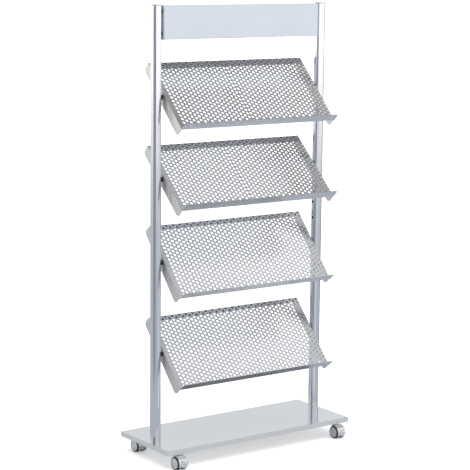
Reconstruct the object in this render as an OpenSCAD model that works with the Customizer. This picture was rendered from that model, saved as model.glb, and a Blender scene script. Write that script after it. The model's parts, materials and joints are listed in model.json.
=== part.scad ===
// Mobile brochure rack: two round posts on a wheeled base board carry a header box
// and four perforated shelves, each clamped by one bolt a side so that its tilt can be set.
// Millimetres, +Z up, the front faces -Y. The origin is on the floor under the middle of the rack.

/* [Base board] */
// Width of the base board
base_w = 852; // [800:1:900]
// Depth of the base board, front to back
base_depth = 326; // [300:1:360]
// Thickness of the base board
base_t = 19; // [16:1:25]
// Radius on every edge of the base board
base_edge_r = 1.2; // [0.5:0.1:3]

/* [Posts] */
// Distance between the axes of the two posts
post_spacing = 752; // [740:1:760]
// Outside diameter of the post tubes
post_d = 40; // [38:1:42]
// Wall thickness of the post tubes
post_wall = 2; // [1.5:0.5:3]
// Length of the post tubes
post_len = 1616; // [1600:1:1700]
// Thickness of the cap above the end of each tube
cap_t = 3.5; // [2:0.5:5]
// Heights above the floor of the two spare shelf positions
spare_z = [859, 921]; // [850:1:930]

/* [Header box] */
// Height of the header box
header_h = 123; // [100:1:150]
// Depth of the header box, front to back
header_depth = 39; // [36:1:40]
// Gap between each end of the header box and its post
header_gap = 2.5; // [2:0.1:4]
// Sheet thickness of the header box
header_t = 1.5; // [1:0.1:2]

/* [Shelves] */
// Heights above the floor of the clamp bolts, from the top shelf down
pivot_z = [1360, 1058.5, 748, 401.5]; // [400:0.5:1370]
// Tilt of each shelf from level, from the top shelf down
tilt = [45.6, 42.7, 49.2, 47.5]; // [40:0.1:52]
// Gap between each end of a shelf and its post
shelf_gap = 5; // [4:0.5:6]
// Length of a shelf along its slope
shelf_len = 317; // [310:1:320]
// Height of the front lip above the shelf face
lip_h = 34; // [25:1:40]
// Radius of the lip's top corners
lip_corner_r = 8; // [5:1:20]
// Depth of the return flange along the back edge
return_h = 38; // [30:1:40]
// Sheet thickness of the shelf decks and lips
tray_t = 1.5; // [1:0.1:2]
// Thickness of the shelf side plates
side_t = 3; // [2:0.5:4]
// Width of the shelf side plates, square to the slope
side_h = 40; // [38:1:46]
// Radius of the side plates' lower corners
side_corner_r = 14; // [8:1:20]
// Distance of the clamp bolt from the lip, along the slope
pivot_along = 168; // [150:1:170]

/* [Perforation] */
// Diameter of the holes
hole_d = 11; // [9:0.5:12]
// Number of hole columns across the shelf
hole_columns = 44; // [30:1:44]
// Number of holes in a column
hole_rows = 18; // [10:1:18]
// Distance between neighbouring columns
column_pitch = 15.54; // [15:0.01:15.54]
// Distance between the holes of a column, along the slope
row_pitch = 16.95; // [16:0.01:17]
// Distance of the first column from the left end of the shelf
column_start = 25.5; // [20:0.5:25.5]
// Distance of the first holes from the lip
row_start = 14; // [10:0.1:14]

/* [Castors] */
// Overall height of a castor, floor to base board
castor_h = 57; // [56:0.5:62]
// Distance of the castor stems from the middle of the base board, across
castor_x = 374; // [340:1:390]
// Distance of the castor stems from the middle of the base board, front to back
castor_y = 139; // [120:1:139]
// Distance of the wheel axle in front of the stem
trail = 21; // [18:1:22]
// Wheel diameter
wheel_d = 50; // [48:1:50]
// Width of each wheel
wheel_w = 15; // [12:0.5:16]
// Clear gap between the two wheels of a castor
wheel_gap = 12.5; // [12:0.5:14]

/* [Hidden] */
$fn = 64;
eps = 0.01;       // overlap that makes a cut run clean through
fit = 0.02;       // radial clearance of pieces that are pressed or screwed together
running = 0.05;   // radial clearance of pieces that turn on each other
seat = 0.02;      // gap between a side plate and the spacer and washer that clamp it

// Castor details
wheel_r = wheel_d / 2;
axle_r = 3;
kingpin_r = 4;
plate_size = 38;
plate_t = 2.5;
plate_screw_at = 14.5;
boss_r = 13;
boss_t = 1.2;
hood_gap = 0.3;
hood_in_r = wheel_r + 0.8;
hood_out_r = wheel_r + 2.4;
hood_half_w = 17;
web_half_w = wheel_gap / 2 - 0.75;
hood_top = castor_h - plate_t - boss_t - hood_gap;
lever_half_w = web_half_w + 0.3;
lever_angle = 20;      // direction of the lever's hinge from the axle, above level
lever_low = -26;       // direction of the lever's and hood's lower edge
hinge_r = wheel_r + 3.9;
barrel_r = 2.5;
lever_pin_r = 1.3;
wheel_mid = wheel_gap / 2 + wheel_w / 2;
cap_r = 20;
cap_recess = 1.5;

// Frame positions
toe_r = wheel_r + 9;
toe_angles = [-19, -12];
toe_reach = toe_r * cos(toe_angles[1]);
rack_y = (castor_y + trail + toe_reach - base_depth / 2) / 2;
base_z = castor_h;
post_z = castor_h + base_t;
post_r = post_d / 2;
post_x = post_spacing / 2;
tube_in_r = post_r - post_wall;
tube_top = post_z + post_len;
plug_len = 30;
post_bolt_r = 5;

// Header box
header_x = post_x - post_r - header_gap;
header_bottom = tube_top - header_h;
header_bolt_z = [header_bottom + 21, tube_top - 21];
header_edge_r = 5;
header_fold_r = 2.5;
header_lip = 12;
back_screw_r = 2;
back_screw_x = [-300, 0, 300];

// Shelves
shelf_w = post_spacing - post_d - 2 * shelf_gap;
pivot_below = side_h / 2;
fold_r = 3;
bolt_r = 4;
bolt_len = 24;
washer_r = 8;
washer_t = 1.6;
head_t = 5.3;
head_flats = 13;
nut_r = 5.5;
nut_len = 14;
nut_sunk = 1;
spacer_r = 9;
seam_column = 20;

// ---- shared shapes ----

// Rectangle from the origin's middle with round corners
module rounded_rect(w, h, r) {
    square([w - 2 * r, h], center = true);
    square([w, h - 2 * r], center = true);
    for (x = [-1, 1], y = [-1, 1]) translate([x * (w / 2 - r), y * (h / 2 - r)]) circle(r);
}

// Turns an outline drawn in (y, z) into a solid along X, centred
module along_x(len) {
    rotate([90, 0, 90]) linear_extrude(len, center = true) children();
}

// Cylinder along X from x0 to x1
module rod_x(x0, x1, r) {
    translate([x0, 0, 0]) rotate([0, 90, 0]) cylinder(h = x1 - x0, r = r);
}

// Draws a left-hand piece and its mirror image on the right
module both_sides() {
    children();
    mirror([1, 0, 0]) children();
}

// ---- base and posts ----

module base_board() {
    color("silver") translate([0, rack_y, base_z + base_t / 2]) difference() {
        intersection() {
            linear_extrude(base_t, center = true) rounded_rect(base_w, base_depth, base_edge_r);
            along_x(base_w) rounded_rect(base_depth, base_t, base_edge_r);
            rotate([90, 0, 0]) linear_extrude(base_depth, center = true)
                rounded_rect(base_w, base_t, base_edge_r);
        }
        for (x = [-post_x, post_x]) translate([x, 0, -base_t / 2]) {
            translate([0, 0, -eps]) cylinder(h = base_t + 2 * eps, r = post_bolt_r + 0.2);
            translate([0, 0, -eps]) cylinder(h = 6, r1 = 11, r2 = post_bolt_r);
        }
        castor_places() for (x = [-1, 1], y = [-1, 1])
            translate([x * plate_screw_at, y * plate_screw_at, -base_t / 2 - eps])
                cylinder(h = 12, r = 2 + fit);
    }
}

// Puts its children at the four castor stems, relative to the middle of the base board
module castor_places() {
    for (x = [-castor_x, castor_x], y = [-castor_y, castor_y]) translate([x, y, 0]) children();
}

// Heights of every threaded insert in a post
function insert_heights() = concat(pivot_z, spare_z, header_bolt_z);

// The left post, with its insert holes on the inner side
module post_tube() {
    color("gainsboro") translate([-post_x, rack_y, 0]) difference() {
        translate([0, 0, post_z]) cylinder(h = post_len, r = post_r);
        translate([0, 0, post_z - 1]) cylinder(h = post_len + 2, r = tube_in_r);
        for (z = insert_heights()) translate([0, 0, z]) rod_x(post_r - 4, post_r + 1, nut_r + fit);
    }
}

module post_left() { post_tube(); }
module post_right() { mirror([1, 0, 0]) post_tube(); }

module post_caps() {
    color("dimgray") both_sides() translate([-post_x, rack_y, tube_top]) rotate_extrude() {
        square([post_r - 1, cap_t]);
        square([post_r, cap_t - 1]);
        translate([post_r - 1, cap_t - 1]) circle(1);
        translate([tube_in_r - fit - 2, -14]) square([2, 14]);
    }
}

module post_plugs() {
    color("gray") both_sides() translate([-post_x, rack_y, post_z]) difference() {
        cylinder(h = plug_len, r = tube_in_r - fit);
        translate([0, 0, -1]) cylinder(h = plug_len - 1, r = post_bolt_r + fit);
    }
}

module post_bolts() {
    color("darkgray") both_sides() translate([-post_x, rack_y, base_z]) difference() {
        union() {
            translate([0, 0, 0.4]) cylinder(h = 5.5, r1 = 10.2, r2 = post_bolt_r - 0.3);
            translate([0, 0, 1]) cylinder(h = base_t + 20, r = post_bolt_r);
        }
        translate([0, 0, -1]) cylinder(h = 4.4, r = 3.5, $fn = 6);
    }
}

// ---- header box ----

// Block with round upright edges at the front and round folds along the top and bottom
module header_block(w, h, depth, edge_r, front_fold_r) {
    intersection() {
        linear_extrude(h, center = true) translate([0, depth / 2]) rounded_front(w, depth, edge_r);
        along_x(w) translate([depth / 2, 0]) rotate(-90) rounded_front(h, depth, front_fold_r);
    }
}

// Rectangle whose two corners on the -Y side are round
module rounded_front(w, h, r) {
    translate([0, r / 2]) square([w, h - r], center = true);
    square([w - 2 * r, h], center = true);
    for (x = [-1, 1]) translate([x * (w / 2 - r), r - h / 2]) circle(r);
}

module header_front() {
    pan_depth = header_depth - header_t;
    color("lightsteelblue") translate([0, rack_y - header_depth / 2, tube_top - header_h / 2])
        difference() {
            header_block(2 * header_x, header_h, pan_depth, header_edge_r, header_fold_r);
            translate([0, header_t, 0]) header_block(2 * (header_x - header_t),
                header_h - 2 * header_t, pan_depth - 2 * header_t,
                header_edge_r - header_t, header_fold_r - header_t);
            translate([0, pan_depth, 0])
                cube([2 * (header_x - header_lip), 9, header_h - 2 * header_lip], center = true);
            for (z = header_bolt_z, s = [-1, 1])
                translate([s * header_x, header_depth / 2, z - tube_top + header_h / 2])
                    rod_x(-4, 4, bolt_r + 0.2);
            for (x = back_screw_x, s = [-1, 1])
                translate([x, pan_depth + 1, s * (header_h / 2 - 7)]) rotate([90, 0, 0])
                    cylinder(h = 5, r = back_screw_r + fit);
        }
}

module header_back() {
    color("lightsteelblue")
        translate([0, rack_y + header_depth / 2, tube_top - header_h / 2]) rotate([90, 0, 0])
            linear_extrude(header_t) difference() {
                rounded_rect(2 * header_x, header_h, 2);
                for (x = back_screw_x, s = [-1, 1])
                    translate([x, s * (header_h / 2 - 7)]) circle(back_screw_r + fit);
            }
}

module header_back_screws() {
    color("gray") for (x = back_screw_x, s = [-1, 1])
        translate([x, rack_y + header_depth / 2, tube_top - header_h / 2 + s * (header_h / 2 - 7)])
            rotate([90, 0, 0]) {
                cylinder(h = 7, r = back_screw_r);
                translate([0, 0, -2]) difference() {
                    cylinder(h = 2, r1 = 2.8, r2 = 3.8);
                    translate([0, 0, -eps]) cylinder(h = 1.2, r = 1.2, $fn = 6);
                }
            }
}

// Spacer between a flat face at x and the post, hollowed to the post's curve
module saddle(x, z) {
    translate([0, rack_y, 0]) difference() {
        translate([0, 0, z]) rod_x(-post_x + post_r - 2, x, spacer_r);
        translate([-post_x, 0, z - spacer_r - 1])
            cylinder(h = 2 * spacer_r + 2, r = post_r + fit);
        translate([0, 0, z]) rod_x(-post_x, x + 1, bolt_r + 0.2);
    }
}

// Hexagon bolt whose head bears on a face at x, threaded towards the left post
module clamp_bolt(x, z) {
    translate([0, rack_y, z]) {
        rod_x(x - bolt_len, x, bolt_r);
        translate([x, 0, 0]) rotate([0, 90, 0]) difference() {
            intersection() {
                cylinder(h = head_t, r = head_flats / sqrt(3), $fn = 6);
                cylinder(h = head_t, r1 = head_flats / 2 + 3, r2 = head_flats / 2 + 0.2);
            }
            translate([0, 0, head_t - 0.4]) cylinder(h = 1, r = head_flats / 2 - 1.2);
        }
    }
}

module header_spacers() {
    color("dimgray") both_sides() for (z = header_bolt_z) saddle(-header_x, z);
}

module rivet_nuts() {
    color("dimgray") both_sides() for (z = insert_heights())
        translate([-post_x + post_r - nut_sunk, rack_y, z]) difference() {
            rod_x(-nut_len, 0, nut_r);
            rod_x(-nut_len - 1, 1, bolt_r + fit);
        }
}

// ---- shelves ----

module clamp_bolts() {
    color("darkgray") both_sides() {
        for (z = pivot_z) clamp_bolt(-shelf_w / 2 + side_t + washer_t, z);
        for (z = header_bolt_z) clamp_bolt(-header_x + header_t, z);
    }
}

module clamp_washers() {
    color("lightgray") both_sides() for (z = pivot_z)
        translate([-shelf_w / 2 + side_t, rack_y, z]) difference() {
            rod_x(seat, washer_t, washer_r);
            rod_x(-1, washer_t + 1, bolt_r + 0.2);
        }
}

module clamp_spacers() {
    color("dimgray") both_sides() for (z = pivot_z) saddle(-shelf_w / 2 - seat, z);
}

// Puts its children on shelf i: local Y runs up the slope from the lip and local Z is square
// to the shelf face, with the origin on the fold under the lip
module on_shelf(i) {
    translate([0, rack_y, pivot_z[i]]) rotate([tilt[i], 0, 0])
        translate([0, -pivot_along, pivot_below]) children();
}

// Quarter of a bent sheet in the (y, z) plane around the origin, from -Z round to -Y
module fold_quarter() {
    intersection() {
        difference() {
            circle(fold_r);
            circle(fold_r - tray_t);
        }
        translate([-fold_r, -fold_r]) square(fold_r);
    }
}

// Whether a column's holes are shifted half a pitch: alternate ones, with the order broken
// at the seam between two punching passes on the shelves that have one
function shifted(column, seam) = (column + (seam && column >= seam_column ? 1 : 0)) % 2;

module perforated_face(seam) {
    w = shelf_w - 2 * side_t;
    translate([0, 0, -tray_t]) linear_extrude(tray_t) difference() {
        translate([-w / 2, fold_r - tray_t]) square([w, shelf_len - 2 * fold_r + tray_t]);
        for (c = [0 : hole_columns - 1], r = [0 : hole_rows - 1])
            translate([column_start - shelf_w / 2 + c * column_pitch,
                       row_start + (r + shifted(c, seam) / 2) * row_pitch])
                circle(d = hole_d, $fn = 32);
    }
}

// The sloping sheet
module deck(i, seam) {
    color("lightgray") on_shelf(i) perforated_face(seam);
}

// The bend and the return flange along the back edge
module flange(i) {
    color("darkgray") on_shelf(i) along_x(shelf_w - 2 * side_t) {
        translate([shelf_len - fold_r, -fold_r]) rotate(180) fold_quarter();
        translate([shelf_len - tray_t, -return_h]) square([tray_t, return_h - fold_r]);
    }
}

// The bend and the lip along the front edge
module lip(i) {
    color("silver") on_shelf(i) {
        along_x(shelf_w) translate([fold_r - tray_t, fold_r - tray_t]) fold_quarter();
        rotate([90, 0, 0]) linear_extrude(tray_t) lip_outline();
    }
}

// The lip above its fold, seen square on, with round top corners
module lip_outline() {
    low = fold_r - tray_t;
    translate([-shelf_w / 2, low]) square([shelf_w, lip_h - lip_corner_r - low]);
    translate([-shelf_w / 2 + lip_corner_r, low]) square([shelf_w - 2 * lip_corner_r, lip_h - low]);
    for (s = [-1, 1]) translate([s * (shelf_w / 2 - lip_corner_r), lip_h - lip_corner_r])
        circle(lip_corner_r);
}

// The flat plate at each end, with the clamp bolt's hole
module sides(i) {
    start = fold_r - tray_t;
    len = shelf_len - start;
    r = side_corner_r;
    color("gainsboro") on_shelf(i)
        for (s = [-1, 1]) translate([s * (shelf_w - side_t) / 2, 0, 0]) along_x(side_t)
            difference() {
                union() {
                    translate([start, r - side_h]) square([len, side_h - r]);
                    translate([start + r, -side_h]) square([len - 2 * r, side_h]);
                    for (u = [start + r, shelf_len - r]) translate([u, r - side_h]) circle(r);
                }
                translate([pivot_along, -pivot_below]) circle(bolt_r + running);
            }
}

module shelf_1_deck() { deck(0, true); }
module shelf_1_lip() { lip(0); }
module shelf_1_flange() { flange(0); }
module shelf_1_sides() { sides(0); }
module shelf_2_deck() { deck(1, true); }
module shelf_2_lip() { lip(1); }
module shelf_2_flange() { flange(1); }
module shelf_2_sides() { sides(1); }
module shelf_3_deck() { deck(2, false); }
module shelf_3_lip() { lip(2); }
module shelf_3_flange() { flange(2); }
module shelf_3_sides() { sides(2); }
module shelf_4_deck() { deck(3, false); }
module shelf_4_lip() { lip(3); }
module shelf_4_flange() { flange(3); }
module shelf_4_sides() { sides(3); }

// ---- castors ----

module castor_plates() {
    color("darkgray") translate([0, rack_y, 0]) castor_places() difference() {
        union() {
            translate([0, 0, castor_h - plate_t])
                linear_extrude(plate_t) rounded_rect(plate_size, plate_size, 4);
            translate([0, 0, castor_h - plate_t - boss_t]) cylinder(h = boss_t + 1, r = boss_r);
            translate([0, 0, castor_h - 20]) cylinder(h = 18, r = kingpin_r);
        }
        for (x = [-1, 1], y = [-1, 1])
            translate([x * plate_screw_at, y * plate_screw_at, castor_h - plate_t - eps]) {
                cylinder(h = plate_t + 1, r = 2 + fit);
                cylinder(h = 2.2, r1 = 4.2, r2 = 2);
            }
    }
}

module castor_screws() {
    color("gray") translate([0, rack_y, castor_h - plate_t]) castor_places()
        for (x = [-1, 1], y = [-1, 1])
            translate([x * plate_screw_at, y * plate_screw_at, 0]) difference() {
                union() {
                    translate([0, 0, 0.1]) cylinder(h = 2, r1 = 4, r2 = 2);
                    translate([0, 0, 1]) cylinder(h = 12, r = 2);
                }
                translate([0, 0, -1]) cylinder(h = 2.2, r = 1.4, $fn = 6);
            }
}

// Puts its children on a castor: the origin is on the axle, between the wheels
module on_castor(x, y) {
    translate([x * castor_x, rack_y + y * castor_y - trail, wheel_r]) children();
}

// Part of a ring around the axle in the (y, z) plane, between two directions in degrees above
// level, counted from the front
module ring_part(r_in, r_out, from, to) {
    reach = 2 * r_out;
    steps = ceil((to - from) / 60);
    fan = [for (k = [0 : steps]) let (a = from + k * (to - from) / steps)
        [-reach * cos(a), reach * sin(a)]];
    intersection() {
        difference() {
            circle(r_out);
            circle(r_in);
        }
        polygon(concat([[0, 0]], fan));
    }
}

function hinge_at() = [-hinge_r * cos(lever_angle), hinge_r * sin(lever_angle)];

module hood(x, y) {
    color("gainsboro") on_castor(x, y) difference() {
        union() {
            along_x(2 * hood_half_w) ring_part(hood_in_r, hood_out_r, lever_low, 128);
            along_x(2 * web_half_w) {
                circle(15);
                ring_part(0, hood_out_r, 48, 128);
                translate([-4, -6]) square([trail + 11, hood_top - wheel_r + 6 - 1]);
            }
            translate([0, trail, hood_top - wheel_r - 2.1]) cylinder(h = 2.1, r = boss_r);
            translate([0, hinge_at()[0], hinge_at()[1]]) {
                rod_x(-lever_half_w - 4, lever_half_w + 4, lever_pin_r);
                for (s = [-1, 1]) translate([s * (lever_half_w + 2.4), 0, 0])
                    rod_x(-1.8, 1.8, barrel_r);
            }
        }
        rod_x(-30, 30, axle_r + fit);
        translate([0, trail, castor_h - 22 - wheel_r]) cylinder(h = 40, r = kingpin_r + running);
        along_x(2 * lever_half_w + 0.6)
            ring_part(15.5, wheel_r + 2.9, lever_low - 9, lever_angle + 7);
    }
}

module axle(x, y) {
    half = wheel_gap / 2 + wheel_w - cap_recess - 0.3;
    color("darkgray") on_castor(x, y) rod_x(-half, half, axle_r);
}

module wheel(x, y, s) {
    shoulder = 2.5;
    half = wheel_w / 2;
    bore_r = axle_r + running;
    color("black") on_castor(x, y) translate([s * wheel_mid, 0, 0]) rotate([0, s * 90, 0])
        rotate_extrude() difference() {
            union() {
                translate([bore_r, -half]) square([wheel_r - shoulder - bore_r, wheel_w]);
                translate([bore_r, shoulder - half])
                    square([wheel_r - bore_r, wheel_w - 2 * shoulder]);
                for (z = [shoulder - half, half - shoulder])
                    translate([wheel_r - shoulder, z]) circle(shoulder);
            }
            translate([0, half - cap_recess]) square([cap_r + 0.1, cap_recess + 1]);
            translate([8, -half - 1]) square([11, 5]);
        }
}

// Hub cap: a shallow dished disc with a raised rim and a small boss
module hub_cap(x, y, s) {
    face = wheel_w / 2 - cap_recess;
    color("silver") on_castor(x, y) translate([s * wheel_mid, 0, 0]) rotate([0, s * 90, 0])
        rotate_extrude() {
            translate([0, face]) square([cap_r, 1]);
            translate([cap_r - 1.05, face + 1.1]) circle(1.05);
            translate([0, face + 1]) intersection() {
                translate([0, -29]) circle(30);
                square([8, 1]);
            }
        }
}

// Brake lever: a panel in the hood's front window that swings in on its hinge, with a toe tab
module brake_lever(x, y) {
    color("silver") on_castor(x, y) difference() {
        union() {
            along_x(2 * lever_half_w - 0.5) {
                ring_part(hood_in_r, hood_out_r, lever_low, lever_angle - 1);
                ring_part(hood_in_r, toe_r, toe_angles[0], toe_angles[1]);
            }
            translate([0, hinge_at()[0], hinge_at()[1]])
                rod_x(0.25 - lever_half_w, lever_half_w - 0.25, barrel_r);
        }
        translate([0, hinge_at()[0], hinge_at()[1]]) rod_x(-20, 20, lever_pin_r + running);
    }
}

module castor_fl_hood() { hood(-1, -1); }
module castor_fl_axle() { axle(-1, -1); }
module castor_fl_wheel_left() { wheel(-1, -1, -1); }
module castor_fl_wheel_right() { wheel(-1, -1, 1); }
module castor_fl_cap_left() { hub_cap(-1, -1, -1); }
module castor_fl_cap_right() { hub_cap(-1, -1, 1); }
module castor_fl_brake_lever() { brake_lever(-1, -1); }
module castor_fr_hood() { hood(1, -1); }
module castor_fr_axle() { axle(1, -1); }
module castor_fr_wheel_left() { wheel(1, -1, -1); }
module castor_fr_wheel_right() { wheel(1, -1, 1); }
module castor_fr_cap_left() { hub_cap(1, -1, -1); }
module castor_fr_cap_right() { hub_cap(1, -1, 1); }
module castor_fr_brake_lever() { brake_lever(1, -1); }
module castor_bl_hood() { hood(-1, 1); }
module castor_bl_axle() { axle(-1, 1); }
module castor_bl_wheel_left() { wheel(-1, 1, -1); }
module castor_bl_wheel_right() { wheel(-1, 1, 1); }
module castor_bl_cap_left() { hub_cap(-1, 1, -1); }
module castor_bl_cap_right() { hub_cap(-1, 1, 1); }
module castor_bl_brake_lever() { brake_lever(-1, 1); }
module castor_br_hood() { hood(1, 1); }
module castor_br_axle() { axle(1, 1); }
module castor_br_wheel_left() { wheel(1, 1, -1); }
module castor_br_wheel_right() { wheel(1, 1, 1); }
module castor_br_cap_left() { hub_cap(1, 1, -1); }
module castor_br_cap_right() { hub_cap(1, 1, 1); }
module castor_br_brake_lever() { brake_lever(1, 1); }

base_board();
post_left();
post_right();
post_caps();
post_plugs();
post_bolts();
header_front();
header_back();
header_back_screws();
header_spacers();
rivet_nuts();
clamp_bolts();
clamp_washers();
clamp_spacers();
castor_plates();
castor_screws();
shelf_1_deck();
shelf_1_lip();
shelf_1_flange();
shelf_1_sides();
shelf_2_deck();
shelf_2_lip();
shelf_2_flange();
shelf_2_sides();
shelf_3_deck();
shelf_3_lip();
shelf_3_flange();
shelf_3_sides();
shelf_4_deck();
shelf_4_lip();
shelf_4_flange();
shelf_4_sides();
castor_fl_hood();
castor_fl_axle();
castor_fl_wheel_left();
castor_fl_wheel_right();
castor_fl_cap_left();
castor_fl_cap_right();
castor_fl_brake_lever();
castor_fr_hood();
castor_fr_axle();
castor_fr_wheel_left();
castor_fr_wheel_right();
castor_fr_cap_left();
castor_fr_cap_right();
castor_fr_brake_lever();
castor_bl_hood();
castor_bl_axle();
castor_bl_wheel_left();
castor_bl_wheel_right();
castor_bl_cap_left();
castor_bl_cap_right();
castor_bl_brake_lever();
castor_br_hood();
castor_br_axle();
castor_br_wheel_left();
castor_br_wheel_right();
castor_br_cap_left();
castor_br_cap_right();
castor_br_brake_lever();
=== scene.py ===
"""Looks of the mobile brochure rack: materials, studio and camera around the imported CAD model."""
import json
import math

import bpy
from mathutils import Matrix, Vector


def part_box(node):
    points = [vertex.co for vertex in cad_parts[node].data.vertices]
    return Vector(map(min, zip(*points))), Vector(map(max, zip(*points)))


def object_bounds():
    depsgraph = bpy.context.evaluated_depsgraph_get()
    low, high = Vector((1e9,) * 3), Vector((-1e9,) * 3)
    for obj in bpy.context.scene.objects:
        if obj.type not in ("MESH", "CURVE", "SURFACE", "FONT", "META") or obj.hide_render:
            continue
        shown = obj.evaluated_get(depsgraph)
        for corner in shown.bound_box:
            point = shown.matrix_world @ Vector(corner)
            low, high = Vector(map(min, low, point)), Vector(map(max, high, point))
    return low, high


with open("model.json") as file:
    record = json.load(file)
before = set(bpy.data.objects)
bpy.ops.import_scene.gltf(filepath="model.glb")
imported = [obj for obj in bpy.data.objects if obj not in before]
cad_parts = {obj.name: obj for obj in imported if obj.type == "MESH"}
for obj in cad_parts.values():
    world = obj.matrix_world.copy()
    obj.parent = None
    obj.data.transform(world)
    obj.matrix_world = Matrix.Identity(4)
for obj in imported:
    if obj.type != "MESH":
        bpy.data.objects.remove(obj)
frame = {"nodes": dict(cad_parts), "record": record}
cad_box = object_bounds()
NODES = frame["nodes"]

# ---- node helpers ----

# Height of a unit normal from which a face counts as looking upward
LOOKS_UP = 0.3


class Shader:
    """A Principled material under construction, with short helpers for its procedural inputs."""

    def __init__(self, name, colour, roughness, metallic=0.0):
        self.material = bpy.data.materials.new(name)
        self.material.use_nodes = True
        self.tree = self.material.node_tree
        self.tree.nodes.clear()
        output = self.add("ShaderNodeOutputMaterial")
        self.shader = self.add("ShaderNodeBsdfPrincipled")
        self.link(self.shader, "BSDF", output, "Surface")
        self.set("Base Color", (*colour, 1))
        self.set("Roughness", roughness)
        self.set("Metallic", metallic)
        self.place = self.add("ShaderNodeTexCoord")
        self.height = None

    def add(self, kind, **settings):
        node = self.tree.nodes.new(kind)
        for key, value in settings.items():
            setattr(node, key, value)
        return node

    def link(self, source, output, target, socket):
        self.tree.links.new(source.outputs[output], target.inputs[socket])

    def set(self, socket, value):
        self.shader.inputs[socket].default_value = value

    def stretched(self, scale):
        """Object coordinates in metres, multiplied by scale on each axis."""
        mapping = self.add("ShaderNodeMapping")
        mapping.inputs["Scale"].default_value = scale
        self.link(self.place, "Object", mapping, "Vector")
        return mapping

    def noise(self, scale, detail=3.0, rough=0.55):
        """Noise whose grain is about 1 / scale metres on each axis."""
        node = self.add("ShaderNodeTexNoise")
        node.inputs["Scale"].default_value = 1.0
        node.inputs["Detail"].default_value = detail
        node.inputs["Roughness"].default_value = rough
        self.link(self.stretched(scale), "Vector", node, "Vector")
        return node, "Fac"

    def vary(self, socket, source, low, high, start=0.3, end=0.7):
        """Drives a number on the shader from a 0 to 1 pattern."""
        ranged = self.add("ShaderNodeMapRange")
        limits = {"From Min": start, "From Max": end, "To Min": low, "To Max": high}
        for key, value in limits.items():
            ranged.inputs[key].default_value = value
        self.link(*source, ranged, "Value")
        self.link(ranged, "Result", self.shader, socket)

    def tint(self, source, first, second, start=0.3, end=0.7):
        """Runs the colour from first to second over a 0 to 1 pattern."""
        ramp = self.add("ShaderNodeValToRGB")
        ramp.color_ramp.elements[0].position = start
        ramp.color_ramp.elements[1].position = end
        ramp.color_ramp.elements[0].color = (*first, 1)
        ramp.color_ramp.elements[1].color = (*second, 1)
        self.link(*source, ramp, "Fac")
        self.link(ramp, "Color", self.shader, "Base Color")

    def recolour_below(self, colour):
        """Gives faces that don't look upward another colour. Returns the height of the normal."""
        pattern = self.shader.inputs["Base Color"].links[0].from_node
        geometry = self.add("ShaderNodeNewGeometry")
        upward = self.add("ShaderNodeSeparateXYZ")
        self.link(geometry, "True Normal", upward, "Vector")
        facing = self.add("ShaderNodeMapRange")
        facing.inputs["From Max"].default_value = LOOKS_UP
        self.link(upward, "Z", facing, "Value")
        mix = self.add("ShaderNodeMix", data_type="RGBA")
        self.tree.links.new(facing.outputs["Result"], mix.inputs["Factor"])
        colours = [socket for socket in mix.inputs if socket.type == "RGBA"]
        colours[0].default_value = (*colour, 1)
        self.tree.links.new(pattern.outputs["Color"], colours[1])
        result = [socket for socket in mix.outputs if socket.type == "RGBA"][0]
        self.tree.links.new(result, self.shader.inputs["Base Color"])
        return upward, "Z"

    def bump(self, source, depth, strength=1.0):
        """Adds relief of about depth metres on top of the relief already there."""
        node = self.add("ShaderNodeBump")
        node.inputs["Strength"].default_value = strength
        node.inputs["Distance"].default_value = depth
        self.link(*source, node, "Height")
        if self.height:
            self.link(self.height, "Normal", node, "Normal")
        self.height = node
        self.link(node, "Normal", self.shader, "Normal")


def cube_scale(value):
    return (value, value, value)


def lighter(colour, factor):
    return tuple(min(1.0, channel * factor) for channel in colour)


# ---- materials ----


def powder_coat(name, colour, metallic, roughness, painted_shade=None):
    """Fine metallic powder coat: orange peel, tiny flakes, and a slow cloudiness of tone.

    The last argument, if given, is painted shade: a darker colour given to the faces that don't
    look upward.
    """
    paint = Shader(name, colour, roughness, metallic)
    flakes = paint.noise(cube_scale(2600), detail=2.0, rough=0.7)
    clouds = paint.noise(cube_scale(9), detail=3.0)
    peel = paint.noise(cube_scale(420), detail=2.0)
    paint.tint(flakes, lighter(colour, 0.93), lighter(colour, 1.07), start=0.25, end=0.75)
    paint.vary("Roughness", clouds, roughness - 0.04, roughness + 0.05)
    paint.bump(peel, depth=0.00005, strength=0.3)
    # Painted shade on the faces that don't look upward.
    if painted_shade:
        paint.recolour_below(painted_shade)
    return paint.material


def polished_tube(name, colour, roughness):
    """Drawn and polished aluminium: hairlines along the tube and faint handling haze."""
    metal = Shader(name, colour, roughness, metallic=1.0)
    hairlines = metal.noise((1500, 1500, 3), detail=3.0, rough=0.6)
    haze = metal.noise((14, 14, 5), detail=3.0)
    metal.tint(hairlines, lighter(colour, 0.96), lighter(colour, 1.03), start=0.2, end=0.8)
    metal.vary("Roughness", haze, roughness - 0.03, roughness + 0.05)
    metal.bump(hairlines, depth=0.000002, strength=0.3)
    return metal.material


def gloss_board(name, colour, edge_colour):
    """Silver-grey high-gloss laminate on top, with duller edging round the board."""
    board = Shader(name, colour, roughness=0.08, metallic=0.9)
    pigment = board.noise(cube_scale(1900), detail=2.0, rough=0.7)
    ripple = board.noise(cube_scale(16), detail=2.0)
    board.tint(pigment, lighter(colour, 0.95), lighter(colour, 1.05), start=0.25, end=0.75)
    upward = board.recolour_below(edge_colour)
    board.vary("Metallic", upward, 0.25, 0.82, start=0.0, end=1.0)
    board.vary("Roughness", ripple, 0.06, 0.11)
    return board.material


def machined_metal(name, colour, roughness):
    """Plated or turned small parts: short scratches and a cloudy finish."""
    metal = Shader(name, colour, roughness, metallic=1.0)
    scratches = metal.noise((900, 900, 240), detail=4.0, rough=0.65)
    clouds = metal.noise(cube_scale(120), detail=3.0)
    metal.tint(clouds, lighter(colour, 0.88), lighter(colour, 1.08))
    metal.vary("Roughness", scratches, roughness - 0.07, roughness + 0.1)
    metal.bump(scratches, depth=0.00002, strength=0.4)
    return metal.material


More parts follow.
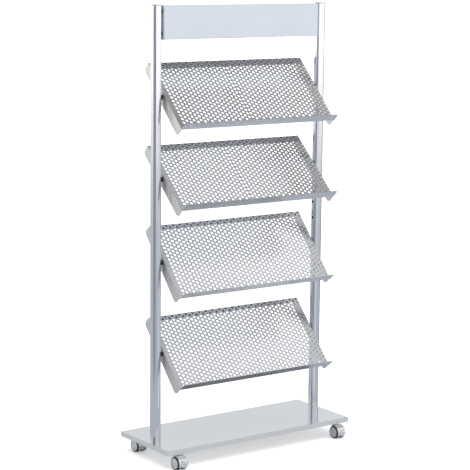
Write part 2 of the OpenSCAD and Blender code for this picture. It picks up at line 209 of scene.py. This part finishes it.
def black_finish(name):
    """Black oxide on steel: satin, with a brown-grey bloom."""
    metal = Shader(name, (0.02, 0.02, 0.022), roughness=0.42, metallic=0.6)
    bloom = metal.noise(cube_scale(300), detail=4.0, rough=0.6)
    metal.tint(bloom, (0.012, 0.012, 0.014), (0.04, 0.038, 0.036))
    metal.vary("Roughness", bloom, 0.36, 0.52)
    metal.bump(bloom, depth=0.00002, strength=0.4)
    return metal.material


def silver_plastic(name, colour):
    """Metallised castor plastic: glossy, with flow marks and scuffs."""
    plastic = Shader(name, colour, roughness=0.25, metallic=0.75)
    plastic.set("Coat Weight", 0.4)
    plastic.set("Coat Roughness", 0.1)
    flow = plastic.noise((70, 130, 70), detail=4.0, rough=0.6)
    scuffs = plastic.noise(cube_scale(600), detail=5.0, rough=0.7)
    plastic.tint(flow, lighter(colour, 0.9), lighter(colour, 1.06))
    plastic.vary("Roughness", scuffs, 0.18, 0.36)
    plastic.bump(scuffs, depth=0.00003, strength=0.35)
    return plastic.material


def tread_rubber(name):
    """Dark castor tread: dull, a little dusty, with a fine grain."""
    rubber = Shader(name, (0.035, 0.036, 0.04), roughness=0.6)
    grain = rubber.noise(cube_scale(1400), detail=3.0, rough=0.7)
    dust = rubber.noise(cube_scale(90), detail=4.0)
    rubber.tint(dust, (0.022, 0.023, 0.026), (0.07, 0.07, 0.072), start=0.35, end=0.8)
    rubber.vary("Roughness", grain, 0.5, 0.72)
    rubber.bump(grain, depth=0.00006, strength=0.5)
    return rubber.material


SHELF_TONE = (0.72, 0.73, 0.76)
SHELF_FINISH = {"metallic": 0.9, "roughness": 0.28}
# Painted shade: the dark colour of the back flanges' downward faces, standing in for the shadow
# seen through the top rows of holes.
FLANGE_PAINTED_SHADE = (0.16, 0.16, 0.17)

MATERIALS = {
    "board": gloss_board("board", (0.56, 0.59, 0.62), edge_colour=(0.50, 0.51, 0.52)),
    "post": polished_tube("post", (0.79, 0.80, 0.83), roughness=0.11),
    "cap": machined_metal("cap", (0.50, 0.50, 0.52), roughness=0.22),
    "inner_metal": machined_metal("inner_metal", (0.62, 0.62, 0.64), roughness=0.4),
    "zinc": machined_metal("zinc", (0.66, 0.66, 0.67), roughness=0.32),
    "header_paint": powder_coat("header_paint", (0.57, 0.61, 0.67), metallic=0.3, roughness=0.34),
    "shelf_paint": powder_coat("shelf_paint", SHELF_TONE, **SHELF_FINISH),
    "lip_paint": powder_coat("lip_paint", (0.64, 0.66, 0.70), metallic=0.9, roughness=0.16),
    "side_paint": powder_coat("side_paint", (0.66, 0.65, 0.63), metallic=0.8, roughness=0.25),
    # The same shelf paint, with painted shade on its downward faces.
    "flange_paint_with_painted_shade": powder_coat("flange_paint_with_painted_shade", SHELF_TONE, **SHELF_FINISH, painted_shade=FLANGE_PAINTED_SHADE),
    "black_parts": black_finish("black_parts"),
    "castor_shell": silver_plastic("castor_shell", (0.78, 0.79, 0.81)),
    "tread": tread_rubber("tread"),
}

# The back flanges are shelf paint too, with painted shade: a dark colour on the side that shows
# through the holes, standing in for the shadow there.
for entry in frame["record"]["subparts"]:
    mesh = NODES[entry["node"]].data
    mesh.materials.clear()
    is_flange = entry["node"].endswith("_flange")
    mesh.materials.append(MATERIALS["flange_paint_with_painted_shade" if is_flange else entry["material_slot"]])

# ---- studio ----

# Camera
VIEW_AZIMUTH = math.radians(-35.64)
VIEW_ELEVATION = math.radians(9.51)
VIEW_ROLL = math.radians(0.56)
CAMERA_PLACE = (-3.760, -5.206, 1.898)
FOCAL_LENGTH = 131.1

# Surround: it turns from white to DARK_LEVEL overhead, but not at the front right. The ranges
# are of the cosine between a direction and straight up, or BACK_LEFT.
OVERHEAD_RANGE = (0.35, 0.7)
BACK_LEFT = (-0.756, 0.605, 0.252)
BACK_LEFT_RANGE = (-0.50, -0.28)
DARK_LEVEL = 0.12

# Floor, and the mat that stands in for it in reflections
FLOOR_REACH = 300.0
FLOOR_GLOW = 0.35
PAPER_TONES = ((0.91, 0.91, 0.91), (0.93, 0.93, 0.93))
MAT_REACH = 18.0
MAT_LIFT = 0.001
MAT_TONE = (0.42, 0.45, 0.49)
MAT_EDGE_TONE = (0.92, 0.92, 0.92)
MAT_SHIFT = 1.5
MAT_FADE = (4.0, 16.0)

# Curved card left of the camera
CARD_TURN = math.radians(-23.2)
CARD_DISTANCE = 1.2
CARD_WIDTH = 1.25
CARD_BOW = -0.5
CARD_STRIPS = 12
CARD_TONE = (0.27, 0.28, 0.33)

# Flat upright cards: x, y, turn in degrees, width
STRIPE_CARD = (0.154, -0.527, 25, 0.26)
STRIPE_TOP = 1.25
STRIPE_TONE = (0.92, 0.92, 0.92)
EDGE_CARD = (1.55, 0.23, 100, 0.7)
EDGE_TONE = (0.10, 0.10, 0.11)

low, high = (Vector(corner) for corner in cad_box)
height = high.z - low.z


def square(reach, level):
    """Corners of a level square round the origin."""
    return [(x * reach, y * reach, level) for x, y in ((-1, -1), (1, -1), (1, 1), (-1, 1))]


def studio_floor():
    """Pale floor, wide enough to fill the picture behind the rack."""
    mesh = bpy.data.meshes.new("studio_floor")
    mesh.from_pydata(square(FLOOR_REACH, 0.0), [], [(0, 1, 2, 3)])
    floor = bpy.data.objects.new("studio_floor", mesh)
    bpy.context.scene.collection.objects.link(floor)
    floor.location.z = low.z
    paper = Shader("studio_paper", (0.92, 0.92, 0.92), roughness=0.9)
    paper.set("Specular IOR Level", 0.1)
    paper.set("Emission Color", (1, 1, 1, 1))
    paper.set("Emission Strength", FLOOR_GLOW)
    fibres = paper.noise(cube_scale(40), detail=3.0)
    paper.tint(fibres, *PAPER_TONES)
    mesh.materials.append(paper.material)


def soft_sky_lamp(name, tilt, turn, strength, spread):
    """Very soft light from above. It lights the floor and the paint but makes no highlights."""
    lamp = bpy.data.lights.new(name, "SUN")
    lamp.energy = strength
    lamp.angle = math.radians(spread)
    holder = bpy.data.objects.new(name, lamp)
    holder.rotation_euler = (math.radians(tilt), 0, math.radians(turn))
    bpy.context.scene.collection.objects.link(holder)
    holder.visible_glossy = False


def reflection_card(name, corners, faces):
    """A studio card that only reflections see."""
    mesh = bpy.data.meshes.new(name)
    mesh.from_pydata(corners, [], faces)
    mesh.shade_smooth()
    card = bpy.data.objects.new(name, mesh)
    bpy.context.scene.collection.objects.link(card)
    card.visible_camera = card.visible_diffuse = card.visible_shadow = False
    return card


def felt(name, tone):
    """Dull cloth with a slight grain, for the studio's cards."""
    cloth = Shader(name, tone, roughness=0.9)
    fibres = cloth.noise(cube_scale(60), detail=3.0)
    cloth.tint(fibres, lighter(tone, 0.94), lighter(tone, 1.06))
    return cloth.material


def standing_card(name, x, y, turn, width, top, tone):
    """Upright flat card on the floor, centred at x, y."""
    across = Vector((math.cos(math.radians(turn)), math.sin(math.radians(turn)), 0)) * width / 2
    foot = Vector((x, y, low.z))
    rise = Vector((0, 0, top - low.z))
    corners = [foot - across, foot + across, foot + across + rise, foot - across + rise]
    card = reflection_card(name, corners, [(0, 1, 2, 3)])
    card.data.materials.append(felt(name + "_felt", tone))


def side_card():
    """Curved grey card left of the camera: it puts the darker stripe in the posts."""
    azimuth = VIEW_AZIMUTH + CARD_TURN
    toward = Vector((math.sin(azimuth), -math.cos(azimuth), 0))
    along = Vector((0, 0, 1)).cross(toward)
    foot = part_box("post_left")[0] + toward * CARD_DISTANCE
    foot.z = low.z
    corners = []
    for k in range(CARD_STRIPS + 1):
        offset = (k / CARD_STRIPS - 0.5) * CARD_WIDTH
        bow = toward * (offset / CARD_WIDTH) ** 2 * CARD_BOW
        bottom = foot + along * offset + bow
        corners += [bottom, bottom + Vector((0, 0, height))]
    faces = [(2 * k, 2 * k + 1, 2 * k + 3, 2 * k + 2) for k in range(CARD_STRIPS)]
    card = reflection_card("side_card", corners, faces)
    card.data.materials.append(felt("studio_felt", CARD_TONE))


def floor_card():
    """Grey-blue mat round and behind the rack, fading into the pale floor, for reflections."""
    mat = Shader("studio_mat", MAT_TONE, roughness=0.9)
    mat.set("Specular IOR Level", 0.1)
    span = mat.add("ShaderNodeVectorMath", operation="LENGTH")
    mat.link(mat.place, "Object", span, 0)
    fade = mat.add("ShaderNodeMapRange", interpolation_type="SMOOTHSTEP")
    for key, value in (("From Min", MAT_FADE[0]), ("From Max", MAT_FADE[1])):
        fade.inputs[key].default_value = value
    mat.link(span, "Value", fade, "Value")
    mat.tint((fade, "Result"), MAT_TONE, MAT_EDGE_TONE, start=0.0, end=1.0)
    card = reflection_card("floor_card", square(MAT_REACH, low.z + MAT_LIFT), [(0, 1, 2, 3)])
    card.data.materials.append(mat.material)
    card.location = (-math.sin(VIEW_AZIMUTH) * MAT_SHIFT, math.cos(VIEW_AZIMUTH) * MAT_SHIFT, 0)


def studio_world():
    """Soft surround: white round the horizon and at the front right, dark overhead elsewhere."""
    world = bpy.data.worlds.new("studio")
    bpy.context.scene.world = world
    world.use_nodes = True
    tree = world.node_tree
    background = tree.nodes["Background"]
    background.inputs["Color"].default_value = (1, 1, 1, 1)
    place = tree.nodes.new("ShaderNodeTexCoord")

    def ramp(direction, start, end):
        """0 to 1 as the direction looked in turns towards the given one."""
        turned = tree.nodes.new("ShaderNodeVectorMath")
        turned.operation = "DOT_PRODUCT"
        turned.inputs[1].default_value = direction
        tree.links.new(place.outputs["Generated"], turned.inputs[0])
        ranged = tree.nodes.new("ShaderNodeMapRange")
        ranged.interpolation_type = "SMOOTHSTEP"
        for key, value in (("From Min", start), ("From Max", end)):
            ranged.inputs[key].default_value = value
        tree.links.new(turned.outputs["Value"], ranged.inputs["Value"])
        return ranged

    overhead = ramp((0, 0, 1), *OVERHEAD_RANGE)
    away = ramp(BACK_LEFT, *BACK_LEFT_RANGE)
    both = tree.nodes.new("ShaderNodeMath")
    both.operation = "MULTIPLY"
    tree.links.new(overhead.outputs["Result"], both.inputs[0])
    tree.links.new(away.outputs["Result"], both.inputs[1])
    level = tree.nodes.new("ShaderNodeMapRange")
    level.inputs["To Min"].default_value = 1.0
    level.inputs["To Max"].default_value = DARK_LEVEL
    tree.links.new(both.outputs[0], level.inputs["Value"])
    tree.links.new(level.outputs["Result"], background.inputs["Strength"])


# ---- camera ----


def photo_camera():
    """Camera in front of the rack's left end, a little above its top, looking slightly down."""
    data = bpy.data.cameras.new("camera")
    camera = bpy.data.objects.new("camera", data)
    bpy.context.scene.collection.objects.link(camera)
    level = math.cos(VIEW_ELEVATION)
    forward = Vector((-math.sin(VIEW_AZIMUTH) * level, math.cos(VIEW_AZIMUTH) * level,
                      -math.sin(VIEW_ELEVATION)))
    right = Vector((math.cos(VIEW_AZIMUTH), math.sin(VIEW_AZIMUTH), 0))
    up = right.cross(forward)
    turned_right = math.cos(VIEW_ROLL) * right + math.sin(VIEW_ROLL) * up
    turned_up = math.cos(VIEW_ROLL) * up - math.sin(VIEW_ROLL) * right
    pose = Matrix((turned_right, turned_up, -forward)).transposed().to_4x4()
    pose.translation = CAMERA_PLACE
    camera.matrix_world = pose
    data.sensor_width = 36
    data.lens = FOCAL_LENGTH
    data.clip_end = 100
    bpy.context.scene.camera = camera


photo_camera()
studio_world()
studio_floor()
side_card()
floor_card()
standing_card("stripe_card", *STRIPE_CARD, STRIPE_TOP, STRIPE_TONE)
standing_card("edge_card", *EDGE_CARD, high.z, EDGE_TONE)
soft_sky_lamp("sky_lamp", tilt=12, turn=-20, strength=2.5, spread=70)
bpy.context.scene.view_settings.view_transform = "Standard"
